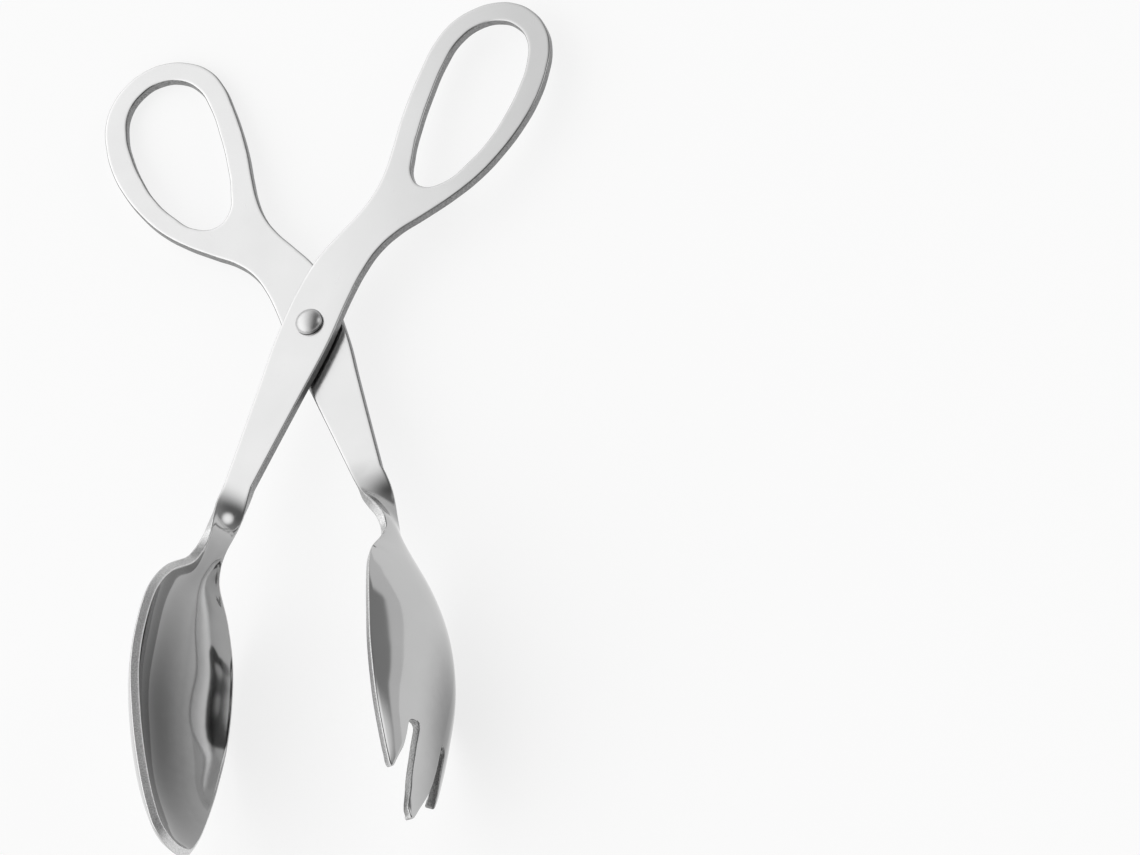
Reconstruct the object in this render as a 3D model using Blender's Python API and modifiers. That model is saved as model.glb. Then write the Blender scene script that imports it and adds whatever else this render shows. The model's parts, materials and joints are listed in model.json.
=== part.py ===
# Scissor serving tongs, as they lie on a table: two arms stamped from sheet
# steel cross on one rivet. One arm ends in a spoon and the other in a fork
# with three tines. Metres, +Z up.
#
# Each arm is drawn in its own flat frame: the rivet's axis is Z through the
# origin, the shank runs down -Y to the head, the finger loop lies up +Y, and
# the front face of the sheet looks up +Z.

import math

import bmesh
import bpy
import numpy as np
from mathutils import Matrix, Vector

# Sheet and stack
sheet_thickness = 0.0025
washer_thickness = 0.0004
running_clearance = 0.0002
washer_diameter = 0.0120

# Rivet
rivet_shank_diameter = 0.0044
bore_clearance = 0.0003
rivet_head_diameter = 0.0074
rivet_head_height = 0.0023
rivet_tail_diameter = 0.0068
rivet_tail_height = 0.0011
rivet_head_lip = 0.0003

# Handle, from the rivet to the far end of the finger loop
loop_reach = 0.1028
loop_width = 0.0362
loop_hole_length = 0.0519
loop_hole_width = 0.0239
loop_hole_start = 0.0450
loop_hole_side = 0.0055

# Shank, from the rivet to the end of its flat length
shank_length = 0.0500
shank_width = 0.0158
shank_end_width = 0.0082

# Spoon: lengths run from the end of the shank, and swing is how far the head
# stands out sideways from there
spoon_length = 0.1126
spoon_width = 0.0459
spoon_depth = 0.0087
spoon_swing = 0.0117
spoon_rise = 0.0036

# Fork
fork_length = 0.1123
fork_width = 0.0444
fork_depth = 0.0107
fork_swing = 0.0200
fork_rise = 0.0028
slot_width = 0.0036
slot_root_reach = 0.0882
slot_root_side = 0.0077
side_tine_reach = 0.1029
side_tine_side = 0.0113
cutter_overrun = 0.0200

# Angles
half_opening = math.radians(20.15)
spoon_twist = math.radians(80.0)
fork_twist = math.radians(82.5)
twist_length = 0.0190
yaw_length = 0.0200

# Fineness of the curves
outline_resolution = 4
bore_points = 8
columns = 12
row_count = 44
turn_steps = 40
dome_steps = 8
settling_rounds = 8
merge_distance = 0.00001
sharp_angle = math.radians(30.0)

# Colours and finish
steel_colour = (0.62, 0.62, 0.62, 1.0)
satin_roughness = 0.28
polished_roughness = 0.12

arm_gap = washer_thickness + 2.0 * running_clearance
bore_diameter = rivet_shank_diameter + 2.0 * bore_clearance

# Outer edge of the handle: shares of loop_width across and of loop_reach
# along, from the shank's inner side over the loop to its outer side.
handle_outline_shares = [
    (-0.198, 0.120), (-0.155, 0.195), (-0.070, 0.270), (0.010, 0.338),
    (0.053, 0.400), (0.060, 0.462), (0.040, 0.530), (0.010, 0.605),
    (-0.008, 0.690), (-0.010, 0.770), (0.003, 0.845), (0.065, 0.912),
    (0.185, 0.961), (0.335, 0.991), (0.500, 0.999), (0.665, 0.984),
    (0.810, 0.948), (0.915, 0.894), (0.972, 0.820), (0.988, 0.740),
    (0.965, 0.665), (0.905, 0.583), (0.808, 0.500), (0.668, 0.424),
    (0.505, 0.355), (0.365, 0.298), (0.277, 0.240), (0.236, 0.178),
    (0.218, 0.110),
]

# Finger hole: shares of its own width across and length along, from the
# corner by the loop's inner side at its shank end.
hole_outline_shares = [
    (0.385, 0.000), (0.610, 0.045), (0.800, 0.180), (0.925, 0.330),
    (0.985, 0.490), (1.000, 0.640), (0.970, 0.780), (0.850, 0.915),
    (0.640, 0.987), (0.440, 1.000), (0.215, 0.957), (0.055, 0.855),
    (0.000, 0.715), (0.005, 0.520), (0.040, 0.340), (0.110, 0.165),
    (0.215, 0.045),
]

# Shank sides: share of its length down from the rivet, and share of the way
# from its width at the rivet to its width at the end.
shank_side_shares = [(0.120, 0.060), (0.400, 0.360), (0.700, 0.690)]

# Stations of each head along its length. Columns: share of the head's length,
# sideways place as a share of its swing, height as a share of its rise, half
# width as a share of the shank's end plus a share of the head's own, and dish
# as a share of its depth.
spoon_station_shares = [
    (0.000, 0.000, 0.000, 1.000, 0.000, 0.000),
    (0.045, 0.115, 0.000, 1.000, 0.000, 0.000),
    (0.090, 0.190, -0.010, 0.980, 0.000, 0.000),
    (0.125, 0.280, -0.020, 1.010, 0.000, 0.000),
    (0.160, 0.385, -0.020, 1.030, 0.000, 0.045),
    (0.195, 0.510, -0.030, 1.130, 0.000, 0.140),
    (0.240, 0.645, -0.030, 0.000, 0.330, 0.350),
    (0.293, 0.760, -0.030, 0.000, 0.645, 0.580),
    (0.364, 0.830, -0.040, 0.000, 0.862, 0.790),
    (0.462, 0.905, -0.040, 0.000, 0.978, 0.930),
    (0.577, 0.980, -0.050, 0.000, 1.000, 1.000),
    (0.700, 1.000, -0.030, 0.000, 0.880, 0.900),
    (0.817, 0.978, 0.080, 0.000, 0.690, 0.720),
    (0.915, 0.890, 0.550, 0.000, 0.467, 0.460),
    (0.977, 0.800, 0.880, 0.000, 0.120, 0.255),
    (1.000, 0.770, 1.000, 0.000, 0.000, 0.000),
]
fork_station_shares = [
    (0.000, 0.000, 0.000, 1.000, 0.000, 0.000),
    (0.045, 0.131, 0.100, 0.990, 0.000, 0.000),
    (0.089, 0.260, 0.190, 0.920, 0.000, 0.000),
    (0.125, 0.354, 0.270, 0.950, 0.000, 0.020),
    (0.160, 0.435, 0.350, 1.070, 0.000, 0.080),
    (0.196, 0.470, 0.420, 1.130, 0.000, 0.210),
    (0.240, 0.467, 0.430, 0.000, 0.347, 0.415),
    (0.294, 0.472, 0.280, 0.000, 0.569, 0.675),
    (0.365, 0.553, 0.070, 0.000, 0.744, 0.885),
    (0.463, 0.668, -0.200, 0.000, 0.914, 1.000),
    (0.579, 0.771, -0.180, 0.000, 1.000, 0.936),
    (0.703, 0.854, 0.480, 0.000, 0.915, 0.730),
    (0.819, 0.923, 0.980, 0.000, 0.740, 0.520),
    (0.917, 0.962, 0.920, 0.000, 0.495, 0.310),
    (0.962, 0.970, 0.900, 0.000, 0.208, 0.155),
    (1.000, 1.020, 0.870, 0.000, 0.000, 0.000),
]

# Slot between the middle tine and a side tine. Each edge: share of the way
# from the slot's root to the tip of the tine that it belongs to, and share of
# the way from its side at the root to its side at that tip.
side_tine_edge_shares = [
    (0.050, 0.000), (0.306, 0.000), (0.483, 0.120), (0.667, 0.500), (0.837, 0.780),
    (1.000, 1.000),
]
middle_tine_edge_shares = [
    (0.040, 0.000), (0.203, 0.000), (0.330, -0.005), (0.490, 0.010), (0.614, 0.150),
    (0.718, 0.370), (0.822, 0.570), (0.925, 0.770),
]


def clear_scene():
    for thing in list(bpy.data.objects):
        bpy.data.objects.remove(thing)


def new_collection(name):
    collection = bpy.data.collections.new(name)
    bpy.context.scene.collection.children.link(collection)
    return collection


def steel(name, roughness):
    material = bpy.data.materials.new(name)
    material.use_nodes = True
    shader = material.node_tree.nodes["Principled BSDF"]
    shader.inputs["Base Color"].default_value = steel_colour
    shader.inputs["Metallic"].default_value = 1.0
    shader.inputs["Roughness"].default_value = roughness
    return material


def smooth_step(share):
    share = np.clip(share, 0.0, 1.0)
    return share * share * (3.0 - 2.0 * share)


def smooth_through(known, values, wanted):
    # One cubic between neighbours, with the slope of the two around each.
    slopes = np.gradient(values, known)
    place = np.clip(np.searchsorted(known, wanted) - 1, 0, len(known) - 2)
    span = known[place + 1] - known[place]
    t = (wanted - known[place]) / span
    start, end = values[place], values[place + 1]
    lead, trail = slopes[place] * span, slopes[place + 1] * span
    return ((2.0 * t ** 3 - 3.0 * t ** 2 + 1.0) * start
            + (t ** 3 - 2.0 * t ** 2 + t) * lead
            + (3.0 * t ** 2 - 2.0 * t ** 3) * end
            + (t ** 3 - t ** 2) * trail)


def add_bezier(curve, points, handle_types, cyclic=True):
    spline = curve.splines.new("BEZIER")
    spline.bezier_points.add(len(points) - 1)
    spline.use_cyclic_u = cyclic
    for target, point, kind in zip(spline.bezier_points, points, handle_types):
        target.co = (point[0], point[1], 0.0)
        target.handle_left_type = kind[0]
        target.handle_right_type = kind[1]
    return spline


def handle_points(side):
    # The whole flat outline of one arm, and the kinds of its handles. side is
    # 1 for a loop that lies towards +X and -1 for its mirror image.
    end_half = 0.5 * shank_end_width
    full_half = 0.5 * shank_width
    inner, outer = [], []
    for along, taper in shank_side_shares:
        half = full_half + taper * (end_half - full_half)
        inner.append((-half, -along * shank_length))
        outer.append((half, -along * shank_length))
    loop = [(across * loop_width, along * loop_reach)
            for across, along in handle_outline_shares]
    start = (-end_half, -shank_length)
    finish = (end_half, -shank_length)
    points = [start] + inner[::-1] + loop + outer + [finish]
    kinds = [("VECTOR", "VECTOR")]
    kinds += [("AUTO", "AUTO")] * (len(points) - 2)
    kinds += [("VECTOR", "VECTOR")]
    return [(side * x, y) for x, y in points], kinds


def flat_plate(name, side):
    # The flat part of an arm as one open face, with its finger hole and bore.
    curve = bpy.data.curves.new(name, "CURVE")
    curve.dimensions = "2D"
    curve.fill_mode = "BOTH"
    curve.resolution_u = outline_resolution
    points, kinds = handle_points(side)
    add_bezier(curve, points, kinds)
    hole = [(side * (loop_hole_side + across * loop_hole_width),
             loop_hole_start + along * loop_hole_length)
            for across, along in hole_outline_shares]
    add_bezier(curve, hole, [("AUTO", "AUTO")] * len(hole))
    bore = [(0.5 * bore_diameter * math.cos(turn), 0.5 * bore_diameter * math.sin(turn))
            for turn in np.linspace(0.0, 2.0 * math.pi, bore_points, endpoint=False)]
    add_bezier(curve, bore, [("AUTO", "AUTO")] * len(bore))
    holder = bpy.data.objects.new(name, curve)
    bpy.context.scene.collection.objects.link(holder)
    view = bpy.context.evaluated_depsgraph_get()
    mesh = bpy.data.meshes.new_from_object(holder.evaluated_get(view))
    bpy.data.objects.remove(holder)
    return mesh


def plate_surface(name, side):
    # The flat plate as a bmesh that looks up, with the vertices of its end
    # edge in order from -X to +X.
    bm = bmesh.new()
    mesh = flat_plate(name, side)
    bm.from_mesh(mesh)
    bpy.data.meshes.remove(mesh)
    bmesh.ops.remove_doubles(bm, verts=bm.verts, dist=merge_distance)
    if sum(face.normal.z for face in bm.faces) < 0.0:
        bmesh.ops.reverse_faces(bm, faces=bm.faces)

    def at_end(edge):
        return all(abs(vert.co.y + shank_length) < merge_distance for vert in edge.verts)

    edges = [edge for edge in bm.edges if edge.is_boundary and at_end(edge)]
    bmesh.ops.subdivide_edges(bm, edges=edges, cuts=columns // len(edges) - 1)
    edges = [edge for edge in bm.edges if edge.is_boundary and at_end(edge)]
    bmesh.ops.triangulate(bm, faces=bm.faces)
    return bm, edges


def head_rows(length, swing, rise, head_width, depth, twist, stations, inward, hollow):
    # Rows of points across the front face, from the shank's end to the tip.
    # inward is 1 where the head turns towards +X and -1 towards -X. hollow is
    # 1 where the front face is the hollow one and -1 where it bulges.
    table = np.array(stations)
    known = table[:, 0] * length
    side = -inward * table[:, 1] * swing
    height = table[:, 2] * rise
    half = 0.5 * (table[:, 3] * shank_end_width + table[:, 4] * head_width)
    dish = table[:, 5] * depth
    step = np.linspace(0.0, 1.0, row_count + 1)[1:]
    along = length * 0.5 * (step + 0.5 * (1.0 - np.cos(math.pi * step)))
    side = smooth_through(known, side, along)
    height = smooth_through(known, height, along)
    half = np.sqrt(np.maximum(smooth_through(known, half ** 2, along), 0.0))
    dish = smooth_through(known, dish, along)
    roll = twist * smooth_step(along / twist_length)
    yaw = inward * half_opening * smooth_step(along / yaw_length)
    run = Vector((inward * math.sin(half_opening), -math.cos(half_opening), 0.0))
    out = Vector((math.cos(half_opening), inward * math.sin(half_opening), 0.0))
    start = Vector((0.0, -shank_length, 0.0))
    rows = []
    for i in range(row_count):
        middle = start + run * along[i] + out * side[i] + Vector((0.0, 0.0, height[i]))
        flat = Vector((math.cos(yaw[i]), math.sin(yaw[i]), 0.0))
        up = Vector((0.0, 0.0, 1.0))
        across = flat * math.cos(roll[i]) - up * math.sin(roll[i])
        facing = up * math.cos(roll[i]) + flat * math.sin(roll[i])
        row = []
        for place in np.linspace(-1.0, 1.0, columns + 1):
            bowl = -hollow * dish[i] * (1.0 - place ** 2)
            row.append(middle + across * (half[i] * place) + facing * bowl)
        rows.append(row)
    return rows


def extrude_rows(bm, edges, rows):
    # Draws the sheet's end edge out, one row at a time.
    for row in rows:
        made = bmesh.ops.extrude_edge_only(bm, edges=edges)["geom"]
        edges = [item for item in made if isinstance(item, bmesh.types.BMEdge)]
        verts = [item for item in made if isinstance(item, bmesh.types.BMVert)]
        verts = ordered(verts, edges)
        for vert, point in zip(verts, row):
            vert.co = point
    bmesh.ops.pointmerge(bm, verts=verts, merge_co=rows[-1][columns // 2])


def ordered(verts, edges):
    # The vertices of one open row, walked from the end nearest to -X at first
    # and then in the same order for each new row.
    mine = set(edges)
    ends = [vert for vert in verts
            if sum(1 for edge in vert.link_edges if edge in mine) == 1]
    left = min(ends, key=lambda vert: vert.co.x - vert.co.z)
    chain, edge = [left], None
    while len(chain) < len(verts):
        edge = next(item for item in chain[-1].link_edges if item in mine and item != edge)
        chain.append(edge.other_vert(chain[-1]))
    return chain


def sheet_arm(name, side, rows, material, collection):
    bm, edges = plate_surface(name, side)
    extrude_rows(bm, edges, rows)
    mesh = bpy.data.meshes.new(name)
    bm.to_mesh(mesh)
    bm.free()
    arm = bpy.data.objects.new(name, mesh)
    collection.objects.link(arm)
    mesh.materials.append(material)
    wall = arm.modifiers.new("sheet", "SOLIDIFY")
    wall.thickness = sheet_thickness
    wall.offset = -1.0
    wall.use_even_offset = True
    wall.use_quality_normals = True
    return arm


def slot_outline(up):
    # One slot and the notch that it opens into, as places along the fork and
    # across it. up is 1 beside the upper tine and -1 beside the lower one.
    outer_side = slot_root_side + 0.5 * slot_width
    inner_side = slot_root_side - 0.5 * slot_width
    points = [(slot_root_reach - 0.5 * slot_width, slot_root_side)]
    for along, across in side_tine_edge_shares:
        points.append((slot_root_reach + along * (side_tine_reach - slot_root_reach),
                       outer_side + across * (side_tine_side - outer_side)))
    kinds = [("AUTO", "AUTO")] * len(points)
    clear_side = side_tine_side + 0.5 * slot_width
    clear_reach = fork_length + cutter_overrun
    points += [(side_tine_reach + slot_width, clear_side), (clear_reach, clear_side),
               (clear_reach, 0.0), (fork_length, 0.0)]
    kinds += [("VECTOR", "VECTOR")] * 4
    middle = [(slot_root_reach + along * (fork_length - slot_root_reach),
               inner_side * (1.0 - across))
              for along, across in middle_tine_edge_shares]
    points += middle[::-1]
    kinds += [("AUTO", "AUTO")] * len(middle)
    return [(along, up * across) for along, across in points], kinds


def slot_cutter(name, up, parent, collection):
    curve = bpy.data.curves.new(name, "CURVE")
    curve.dimensions = "2D"
    curve.fill_mode = "BOTH"
    curve.resolution_u = outline_resolution
    curve.extrude = fork_swing + fork_depth + cutter_overrun
    points, kinds = slot_outline(up)
    add_bezier(curve, points, kinds)
    holder = bpy.data.objects.new(name, curve)
    bpy.context.scene.collection.objects.link(holder)
    view = bpy.context.evaluated_depsgraph_get()
    mesh = bpy.data.meshes.new_from_object(holder.evaluated_get(view))
    bpy.data.objects.remove(holder)
    bm = bmesh.new()
    bm.from_mesh(mesh)
    bmesh.ops.remove_doubles(bm, verts=bm.verts, dist=merge_distance)
    bmesh.ops.recalc_face_normals(bm, faces=bm.faces)
    bm.to_mesh(mesh)
    bm.free()
    cutter = bpy.data.objects.new(name, mesh)
    collection.objects.link(cutter)
    cutter.parent = parent
    cutter.matrix_local = head_matrix(-1.0, fork_twist)
    cutter.hide_render = True
    cutter.display_type = "WIRE"
    return cutter


def head_matrix(inward, twist):
    # Local X runs along the head, Y across it to its upper rim, and Z faces
    # the way that the head's front face does.
    run = Vector((inward * math.sin(half_opening), -math.cos(half_opening), 0.0))
    flat = Vector((math.cos(half_opening), inward * math.sin(half_opening), 0.0))
    up = Vector((0.0, 0.0, 1.0))
    across = up * math.sin(twist) - flat * math.cos(twist)
    facing = up * math.cos(twist) + flat * math.sin(twist)
    matrix = Matrix((run, across, facing)).transposed().to_4x4()
    matrix.translation = Vector((0.0, -shank_length, 0.0))
    return matrix


def turned(name, profile, closed, material, collection):
    mesh = bpy.data.meshes.new(name)
    edges = [(i, i + 1) for i in range(len(profile) - 1)]
    if closed:
        edges.append((len(profile) - 1, 0))
    mesh.from_pydata([(radius, 0.0, height) for radius, height in profile], edges, [])
    piece = bpy.data.objects.new(name, mesh)
    collection.objects.link(piece)
    mesh.materials.append(material)
    screw = piece.modifiers.new("turn", "SCREW")
    screw.steps = turn_steps
    screw.render_steps = turn_steps
    screw.use_merge_vertices = True
    screw.merge_threshold = merge_distance
    return piece


def dome_profile(diameter, height, lip, base, direction):
    # From the dome's top out to its foot. direction is 1 for a dome that
    # rises and -1 for one that hangs.
    angles = np.linspace(0.0, 0.5 * math.pi, dome_steps + 1)
    rise = height - lip
    return [(0.5 * diameter * math.sin(angle),
             base + direction * (lip + rise * math.cos(angle))) for angle in angles]


def pivot_rivet(material, collection):
    seat = running_clearance
    back = -2.0 * sheet_thickness - arm_gap - running_clearance
    shank = 0.5 * rivet_shank_diameter
    head = dome_profile(rivet_head_diameter, rivet_head_height, rivet_head_lip, seat, 1.0)
    tail = dome_profile(rivet_tail_diameter, rivet_tail_height, rivet_head_lip, back, -1.0)
    profile = head + [(0.5 * rivet_head_diameter, seat), (shank, seat), (shank, back),
                      (0.5 * rivet_tail_diameter, back)] + tail[::-1]
    return turned("pivot_rivet", profile, False, material, collection)


def pivot_washer(material, collection):
    top = -sheet_thickness - running_clearance
    bottom = top - washer_thickness
    bore = 0.5 * bore_diameter
    rim = 0.5 * washer_diameter
    profile = [(bore, top), (rim, top), (rim, bottom), (bore, bottom)]
    return turned("pivot_washer", profile, True, material, collection)


def places(piece):
    # The finished vertices of a piece, in world space.
    view = bpy.context.evaluated_depsgraph_get()
    done = piece.evaluated_get(view)
    mesh = done.to_mesh()
    points = np.empty(3 * len(mesh.vertices))
    mesh.vertices.foreach_get("co", points)
    done.to_mesh_clear()
    matrix = np.array(done.matrix_world)
    return points.reshape(-1, 3) @ matrix[:3, :3].T + matrix[:3, 3]


def lay_down(carrier, spoon_arm, fork_arm):
    # Tilts the whole set until both heads and the lower arm's finger loop
    # stand on one level, and puts the middle of its footprint at the origin.
    for _ in range(settling_rounds):
        bpy.context.view_layer.update()
        spoon, fork = places(spoon_arm), places(fork_arm)
        middle = carrier.matrix_world.translation.y
        groups = [spoon[spoon[:, 1] < middle], fork[fork[:, 1] < middle],
                  fork[fork[:, 1] > middle]]
        feet = [Vector(group[group[:, 2].argmin()]) for group in groups]
        normal = (feet[1] - feet[0]).cross(feet[2] - feet[0])
        level = normal.rotation_difference(Vector((0.0, 0.0, 1.0))).to_matrix().to_4x4()
        carrier.matrix_world = level @ carrier.matrix_world
    bpy.context.view_layer.update()
    points = np.concatenate([places(spoon_arm), places(fork_arm)])
    low, high = points.min(axis=0), points.max(axis=0)
    shift = Vector((-0.5 * (low[0] + high[0]), -0.5 * (low[1] + high[1]), -low[2]))
    carrier.matrix_world = Matrix.Translation(shift) @ carrier.matrix_world


def empty(name, parent, collection):
    mark = bpy.data.objects.new(name, None)
    collection.objects.link(mark)
    mark.empty_display_size = washer_diameter
    mark.parent = parent
    return mark


def smooth_shaded(piece):
    piece.data.shade_smooth()
    piece.data.set_sharp_from_angle(angle=sharp_angle)


def build():
    clear_scene()
    parts = new_collection("serving_tongs")
    cutters = new_collection("cutters")
    satin = steel("satin_steel", satin_roughness)
    polished = steel("polished_steel", polished_roughness)
    fork_steel = steel("fork_steel", satin_roughness)
    washer_steel = steel("washer_steel", satin_roughness)

    carrier = empty("resting_frame", None, parts)
    hinge = empty("hinge_axis", carrier, parts)

    spoon_rows = head_rows(spoon_length, spoon_swing, spoon_rise, spoon_width,
                           spoon_depth, spoon_twist, spoon_station_shares, 1.0, 1.0)
    spoon_arm = sheet_arm("spoon_arm", 1.0, spoon_rows, satin, parts)
    spoon_arm.parent = carrier
    spoon_arm.rotation_euler = (0.0, 0.0, -half_opening)

    fork_rows = head_rows(fork_length, fork_swing, fork_rise, fork_width,
                          fork_depth, fork_twist, fork_station_shares, -1.0, -1.0)
    fork_arm = sheet_arm("fork_arm", -1.0, fork_rows, fork_steel, parts)
    fork_arm.parent = hinge
    fork_arm.location = (0.0, 0.0, -sheet_thickness - arm_gap)
    fork_arm.rotation_euler = (0.0, 0.0, half_opening)
    for name, up in (("upper_slot_cutter", 1.0), ("lower_slot_cutter", -1.0)):
        cutter = slot_cutter(name, up, fork_arm, cutters)
        cut = fork_arm.modifiers.new(name, "BOOLEAN")
        cut.operation = "DIFFERENCE"
        cut.solver = "EXACT"
        cut.object = cutter

    rivet = pivot_rivet(polished, parts)
    washer = pivot_washer(washer_steel, parts)
    rivet.parent = carrier
    washer.parent = carrier
    for piece in (spoon_arm, fork_arm, rivet, washer):
        smooth_shaded(piece)
    lay_down(carrier, spoon_arm, fork_arm)


build()
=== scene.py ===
import json
import math

import bmesh
import bpy
import numpy as np
from mathutils import Matrix, Vector


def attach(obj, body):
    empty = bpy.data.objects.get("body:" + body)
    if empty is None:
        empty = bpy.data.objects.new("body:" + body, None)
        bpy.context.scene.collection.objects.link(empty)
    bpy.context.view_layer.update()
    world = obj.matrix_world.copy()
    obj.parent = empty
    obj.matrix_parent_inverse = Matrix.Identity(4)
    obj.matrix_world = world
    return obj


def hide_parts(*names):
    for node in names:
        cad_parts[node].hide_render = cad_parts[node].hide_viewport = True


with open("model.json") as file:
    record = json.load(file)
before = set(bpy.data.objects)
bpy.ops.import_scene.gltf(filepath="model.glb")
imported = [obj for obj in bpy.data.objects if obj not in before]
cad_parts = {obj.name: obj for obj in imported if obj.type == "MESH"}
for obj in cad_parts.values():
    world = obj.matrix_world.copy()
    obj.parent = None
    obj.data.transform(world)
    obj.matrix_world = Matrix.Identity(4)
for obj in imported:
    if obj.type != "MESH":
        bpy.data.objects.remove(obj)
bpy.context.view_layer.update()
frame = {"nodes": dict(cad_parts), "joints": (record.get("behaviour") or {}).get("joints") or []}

resting = {
    "joint": frame["joints"][0],
    "turn": math.radians(0.017),     # about the rivet's axis, as the set settles
}


def layDown():
    # How the set lies on the table. Each arm is drawn flat, with the rivet's axis
    # as Z, the shank down -Y and the finger loop up +Y, and is then laid in here.
    axis = Vector(resting["joint"]["axis"]).normalized()
    aside = Vector((0.0, 1.0, 0.0)).cross(axis).normalized()
    place = Matrix((aside, axis.cross(aside), axis)).transposed().to_4x4()
    place.translation = Vector(resting["joint"]["pos_m"])
    return place @ Matrix.Rotation(resting["turn"], 4, "Z")


restingPlace = layDown()

sheet = {
    "thickness": 0.0025,
    "washer": 0.0004,
    "clearance": 0.0002,
    "halfOpening": math.radians(20.15),
    "edgeRounding": 0.00042,     # tumbled edge of the stamping
    "roundingSteps": 3,
    "sharpEdge": math.radians(64.0),
    "rimMargin": 0.0009,         # room that the rounding gets beside each rim
    "marginLimit": 0.55,         # and the largest share of a narrow half row
    "join": 0.00001,             # points nearer than this are one
    "searchSteps": 4001,         # places tried to find where a head has a width
    "easingSteps": 9,            # places that an eased value is averaged over
}


camera = {
    "away": 8.0,                 # a long lens, as the photo shows no perspective
    "frameWidth": 0.2964,        # what 1140 pixels cover at the tongs
    "right": (0.9373, 0.0483, -0.3450),
    "up": (0.1487, 0.8402, 0.5213),
    "asideOfRivet": 0.0677,
    "belowRivet": 0.0273,
    "sensorWidth": 36.0,
    "clipEnd": 50.0,
}


def addCamera():
    # Looks along the photo's line of sight and frames the tongs as it does.
    data = bpy.data.cameras.new("studioCamera")
    data.sensor_width = camera["sensorWidth"]
    data.lens = data.sensor_width * camera["away"] / camera["frameWidth"]
    data.clip_end = camera["clipEnd"]
    right = restingPlace.to_3x3() @ Vector(camera["right"])
    up = restingPlace.to_3x3() @ Vector(camera["up"])
    right.normalize()
    back = right.cross(up).normalized()
    up = back.cross(right)
    aim = restingPlace.translation + right * camera["asideOfRivet"]
    aim = aim - up * camera["belowRivet"]
    place = Matrix((right, up, back)).transposed().to_4x4()
    place.translation = aim + back * camera["away"]
    holder = bpy.data.objects.new("studioCamera", data)
    bpy.context.scene.collection.objects.link(holder)
    holder.matrix_world = place
    bpy.context.scene.camera = holder


def linear(hexColour):
    # sRGB hex to the linear colour that a shader takes.
    shares = [int(hexColour[i:i + 2], 16) / 255.0 for i in (1, 3, 5)]
    return tuple(s / 12.92 if s <= 0.04045 else ((s + 0.055) / 1.055) ** 2.4
                 for s in shares) + (1.0,)


def addNode(tree, kind, settings=None, links=None):
    # Settings name an input or a property; numbers count inputs.
    node = tree.nodes.new(kind)
    for name, value in (settings or {}).items():
        if isinstance(name, int) or name in node.inputs:
            node.inputs[name].default_value = value
        else:
            setattr(node, name, value)
    for name, source in (links or {}).items():
        tree.links.new(source, node.inputs[name])
    return node


def newMaterial(name):
    material = bpy.data.materials.new(name)
    material.use_nodes = True
    tree = material.node_tree
    return material, tree, tree.nodes["Principled BSDF"]


def wireMetal(tree, shader, sources):
    # Bare metal, with each source plugged into the socket that it names.
    shader.inputs["Metallic"].default_value = 1.0
    for socket, source in sources.items():
        tree.links.new(source, shader.inputs[socket])


def softPatch(tree, place, patch):
    # 1 inside an oval of Y and Z, 0 outside it, with a soft edge between.
    reachY, reachZ = 1.0 / patch["halfY"], 1.0 / patch["halfZ"]
    local = addNode(tree, "ShaderNodeMapping",
                    {"Location": (0.0, -patch["y"] * reachY, -patch["z"] * reachZ),
                     "Scale": (0.0, reachY, reachZ)}, {"Vector": place})
    away = addNode(tree, "ShaderNodeVectorMath", {"operation": "LENGTH"},
                   {0: local.outputs["Vector"]})
    return addNode(tree, "ShaderNodeMapRange",
                   {"interpolation_type": "SMOOTHSTEP", "From Min": patch["outer"],
                    "From Max": patch["inner"]},
                   {"Value": away.outputs["Value"]}).outputs["Result"]


stainless = {
    "satinColour": "#cecece",
    "satinRoughness": 0.21,
    "farShadeFrom": 0.004,           # along X, where the painted shade on a loop's far side starts
    "farShadeTo": 0.058,
    "satinSpread": 0.06,         # how far the roughness strays to either side
    "grainAcross": 0.00022,      # satin lines, some four times as far apart as real ones
    "grainAlong": 0.0060,        # so that they show, and how long each one runs
    "grainDepth": 0.0000018,
    "grainLeft": 0.12,           # share of the lines' depth that buffing leaves
    "hairAcross": 0.0011,        # stray hairlines from handling
    "hairAlong": 0.0300,
    "hairTurn": 0.35,
    "hairFrom": 0.62,            # noise level where a hairline starts
    "hairTo": 0.72,
    "hairRoughness": 0.10,
    "cloud": 0.0140,             # soft patches that wiping leaves
    "wipedDark": 0.94,
    "wipedLight": 1.04,
    "buffedSpread": 0.02,
    "stray": 0.0030,             # how the rims of the painted patches of shade and light wander
    "strayReach": 0.0014,
    "polishFrom": -0.012,        # along Y, where satin gives way to polish
    "polishTo": -0.034,
}


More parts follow.
